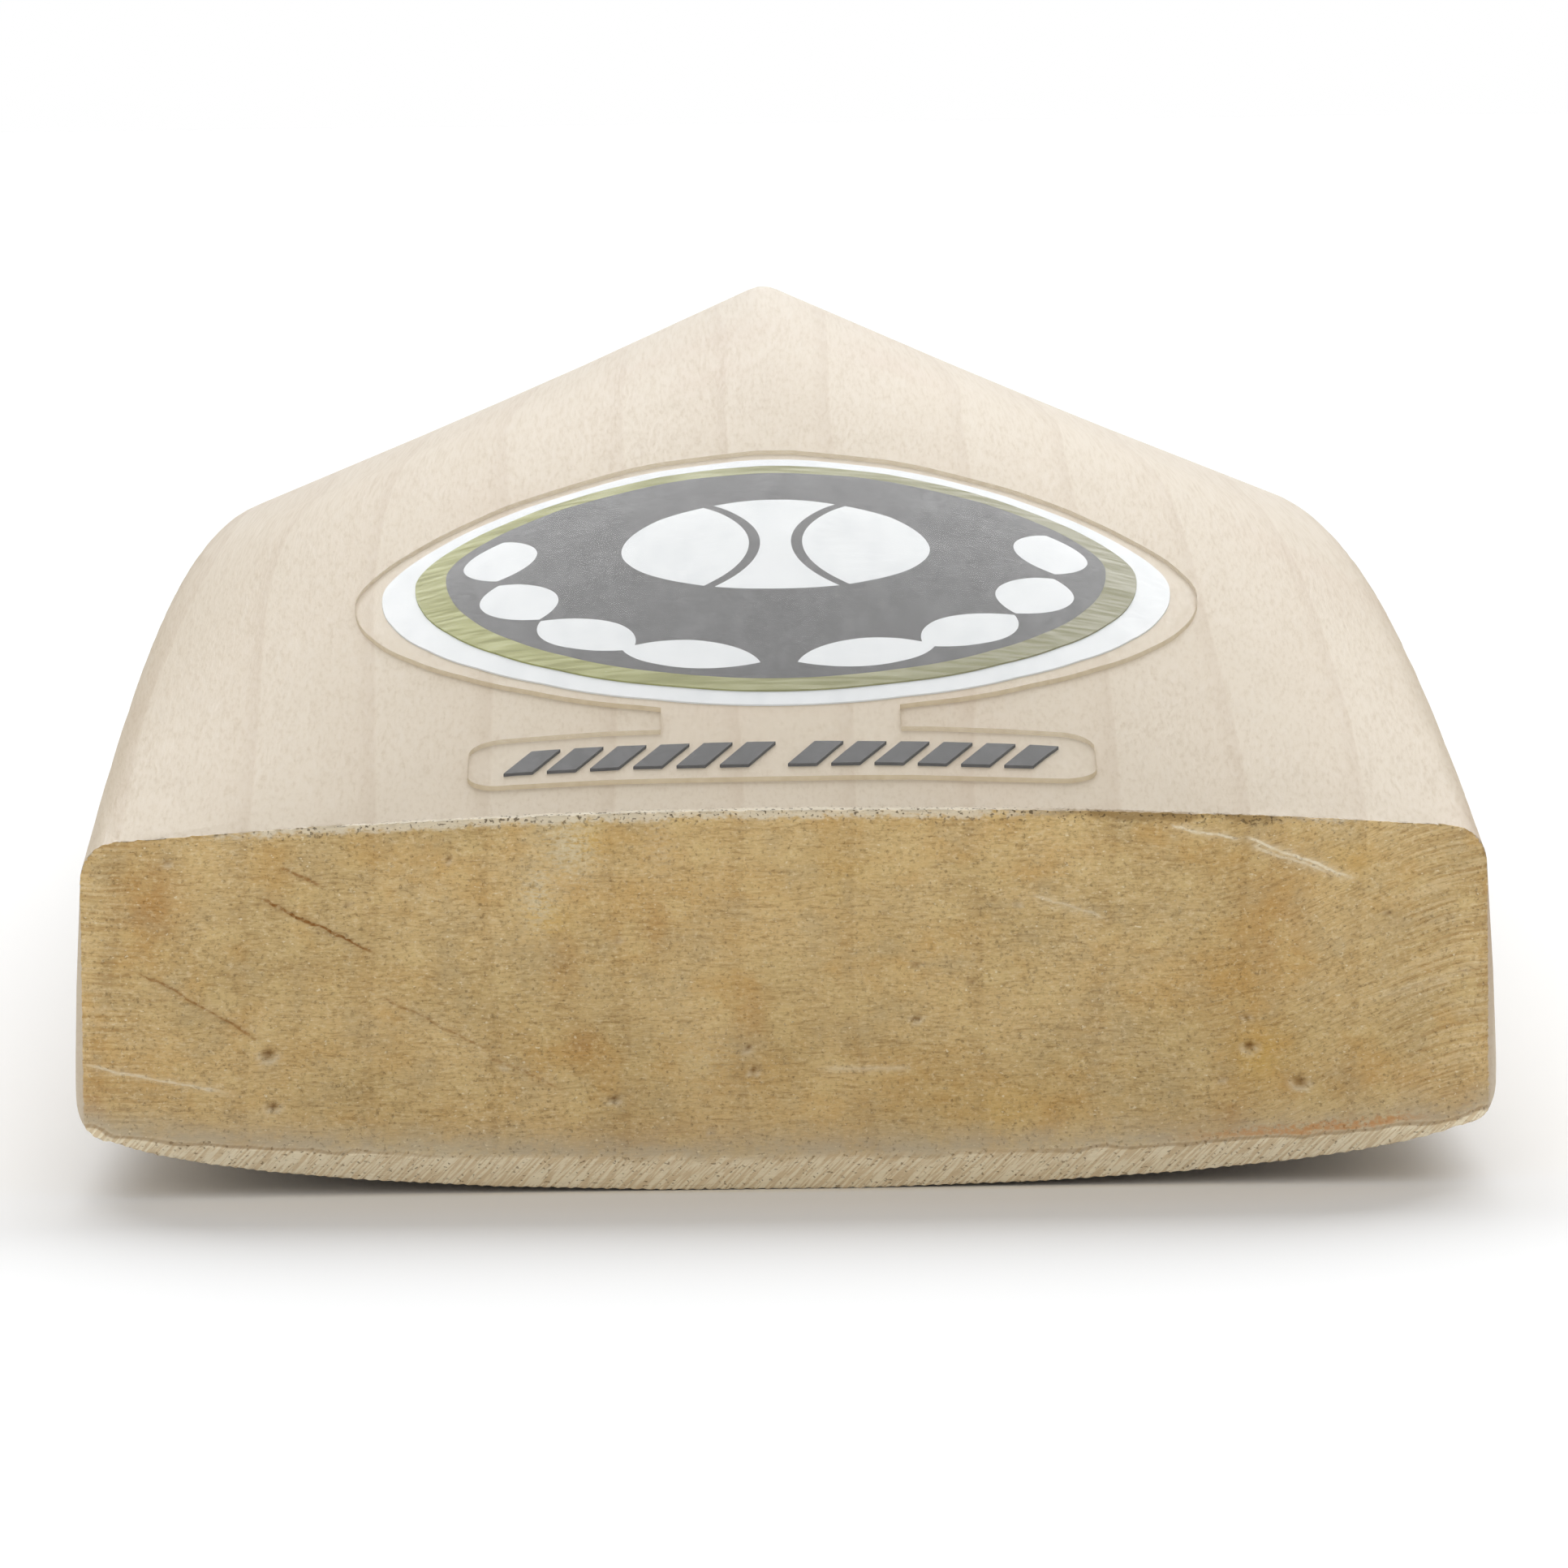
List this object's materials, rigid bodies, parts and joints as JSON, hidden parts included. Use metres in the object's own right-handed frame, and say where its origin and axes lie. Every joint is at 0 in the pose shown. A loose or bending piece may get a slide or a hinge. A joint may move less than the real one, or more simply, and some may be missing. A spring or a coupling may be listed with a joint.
{
  "type": "cricket bat",
  "caption": "Short-handle cricket bat: willow blade with a spined back, spliced laminated cane handle with twine binding and rubber grip, and a clear toe label.",
  "frame": {"origin": "on the surface that the bat lies on, under the middle of its length and width", "axes": "+X across the blade, +Y from the toe to the handle, +Z from the face to the spine"},
  "size_m": [0.108, 0.85, 0.0623],
  "materials": {
    "willow": "pale bare willow, finely sanded, its toe sealed darker",
    "cane": "planed cane, matt",
    "spring_rubber": "matt black sheet rubber",
    "twine": "waxed linen twine, close wound",
    "grip_rubber": "matt moulded rubber with raised ribs",
    "white_print": "white print under a clear film",
    "gold_print": "olive-gold print under a clear film",
    "dark_print": "dark grey print under a clear film",
    "clear_film": "thin clear film with a soft gloss"
  },
  "bodies": {
    "root": {"blade": "willow", "cane_face_left": "cane", "cane_face_middle": "cane", "cane_face_right": "cane", "cane_lower_left": "cane", "cane_lower_middle": "cane", "cane_lower_right": "cane", "cane_upper_left": "cane", "cane_upper_middle": "cane", "cane_upper_right": "cane", "cane_back_left": "cane", "cane_back_middle": "cane", "cane_back_right": "cane", "spring_face": "spring_rubber", "spring_middle": "spring_rubber", "spring_back": "spring_rubber", "twine_binding": "twine", "rubber_grip": "grip_rubber", "label_white_ground": "white_print", "label_gold_band": "gold_print", "label_dark_field": "dark_print", "label_white_emblem": "white_print", "label_strip_dashes": "dark_print", "label_clear_film": "clear_film"}
  },
  "joints": []
}
